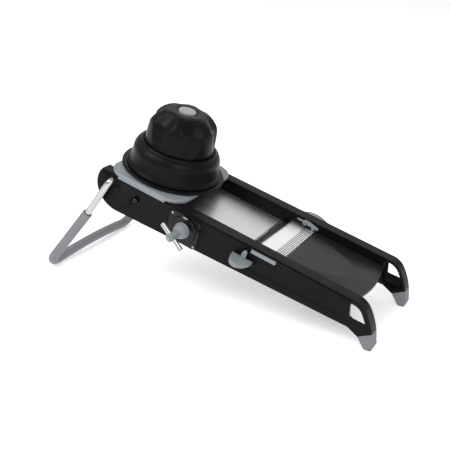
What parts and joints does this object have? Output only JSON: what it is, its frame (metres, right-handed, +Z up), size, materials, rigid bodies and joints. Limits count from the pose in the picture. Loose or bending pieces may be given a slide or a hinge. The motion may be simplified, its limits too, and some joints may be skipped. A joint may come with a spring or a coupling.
{
  "type": "mandoline slicer",
  "caption": "Sloping mandoline slicer with side rails, adjustable infeed plate, straight blade, julienne comb, folding wire stand and a round food pusher on a sliding carriage.",
  "frame": {"origin": "centre of the bounding box, on the table", "axes": "+X down the slope to the feet, +Y to the far rail with the blade lock, +Z up"},
  "size_m": [0.4294, 0.1872, 0.2134],
  "materials": {
    "black_plastic": "satin moulded",
    "gloss_black_plastic": "polished moulded",
    "bed_plastic": "satin moulded, fine grain",
    "grey_plastic": "satin moulded",
    "pale_grey_plastic": "satin moulded",
    "foot_rubber": "matt",
    "grip_rubber": "soft satin",
    "sleeve_grip": "satin",
    "infeed_steel": "brushed along the feed",
    "blade_steel": "ground",
    "chromed_steel": "bright",
    "screw_steel": "bright zinc"
  },
  "bodies": {
    "frame": {"side_rail_near": "black_plastic", "side_rail_far": "black_plastic", "foot_pad_near": "foot_rubber", "foot_pad_far": "foot_rubber", "outfeed_bed": "bed_plastic", "cross_bar_high": "black_plastic", "cross_bar_mid": "black_plastic", "cross_bar_low": "black_plastic", "cross_bar_screws": "screw_steel", "stand_bushes": "black_plastic", "infeed_hinge_screws": "screw_steel", "adjuster_plate": "gloss_black_plastic", "adjuster_bezel": "gloss_black_plastic", "plate_fixings": "screw_steel", "thickness_pointer": "pale_grey_plastic", "shaft_bearing": "grey_plastic"},
    "stand": {"stand_wire": "chromed_steel", "stand_sleeve": "sleeve_grip"},
    "infeed": {"infeed_plate": "infeed_steel", "infeed_tray": "black_plastic"},
    "adjuster": {"adjuster_dome": "grey_plastic", "adjuster_t_bar": "chromed_steel", "adjuster_hub_screw": "screw_steel", "adjuster_shaft": "screw_steel", "adjuster_cams": "pale_grey_plastic"},
    "julienne": {"julienne_bar": "black_plastic", "julienne_teeth": "blade_steel", "julienne_grip": "grey_plastic", "julienne_pointer": "grey_plastic"},
    "blade": {"blade_plate": "blade_steel", "blade_carrier": "black_plastic", "blade_grip": "grey_plastic", "blade_rivets": "screw_steel"},
    "blade_lock": {"lock_axle": "screw_steel", "lock_clip": "grey_plastic", "lock_wheel": "grey_plastic"},
    "carriage": {"carriage_plate": "grey_plastic", "carriage_glide_near": "grey_plastic", "carriage_glide_far": "grey_plastic", "glide_screws": "screw_steel"},
    "pusher_base": {"pusher_ring": "grip_rubber"},
    "pusher_body": {"pusher_bell": "grip_rubber", "pusher_snap_ring": "screw_steel"},
    "plunger": {"plunger_sleeve": "black_plastic", "pusher_knob": "grip_rubber", "pin_plate": "black_plastic", "food_pins": "screw_steel", "pin_plate_screws": "screw_steel", "button_spring": "screw_steel"},
    "button": {"release_button": "pale_grey_plastic"}
  },
  "joints": [
    {"name": "stand_fold", "type": "hinge", "parent": "frame", "child": "stand", "pos_m": [-0.11894, 0.00376, 0.12862], "axis": [0, -1, 0], "range_deg": [0, 92]},
    {"name": "thickness_turn", "type": "hinge", "parent": "frame", "child": "adjuster", "pos_m": [-0.01995, 0.00376, 0.08771], "axis": [0, -1, 0], "range_deg": [-80, 80]},
    {"name": "infeed_tilt", "type": "hinge", "parent": "frame", "child": "infeed", "pos_m": [-0.0892, 0.00376, 0.10823], "axis": [0, 1, 0], "range_deg": [-1.76, 1.76]},
    {"name": "julienne_slide", "type": "slide", "parent": "frame", "child": "julienne", "axis": [0, -1, 0], "range_m": [0, 0.12]},
    {"name": "blade_slide", "type": "slide", "parent": "frame", "child": "blade", "axis": [0, -1, 0], "range_m": [0, 0.122]},
    {"name": "lock_turn", "type": "hinge", "parent": "frame", "child": "blade_lock", "pos_m": [0.083, 0.00376, 0.07939], "axis": [0, -1, 0], "range_deg": [0, 12]},
    {"name": "carriage_slide", "type": "slide", "parent": "frame", "child": "carriage", "axis": [0.9659, 0, -0.2588], "range_m": [0, 0.205]},
    {"name": "pusher_lift", "type": "slide", "parent": "carriage", "child": "pusher_base", "axis": [0.2588, 0, 0.9659], "range_m": [0, 0.06]},
    {"name": "pusher_turn", "type": "hinge", "parent": "pusher_base", "child": "pusher_body", "pos_m": [-0.07442, 0.00376, 0.13636], "axis": [0.2588, 0, 0.9659], "continuous": true},
    {"name": "plunger_press", "type": "slide", "parent": "pusher_body", "child": "plunger", "axis": [-0.2588, 0, -0.9659], "range_m": [0, 0.0175]},
    {"name": "button_press", "type": "slide", "parent": "plunger", "child": "button", "axis": [-0.2588, 0, -0.9659], "range_m": [0, 0.003], "stiffness_N_per_m": 600, "springref_m": -0.001, "deforming": ["button_spring"]}
  ],
  "couplings": [
    {"joint": "infeed_tilt", "follows": "thickness_turn", "ratio": -0.02178}
  ]
}
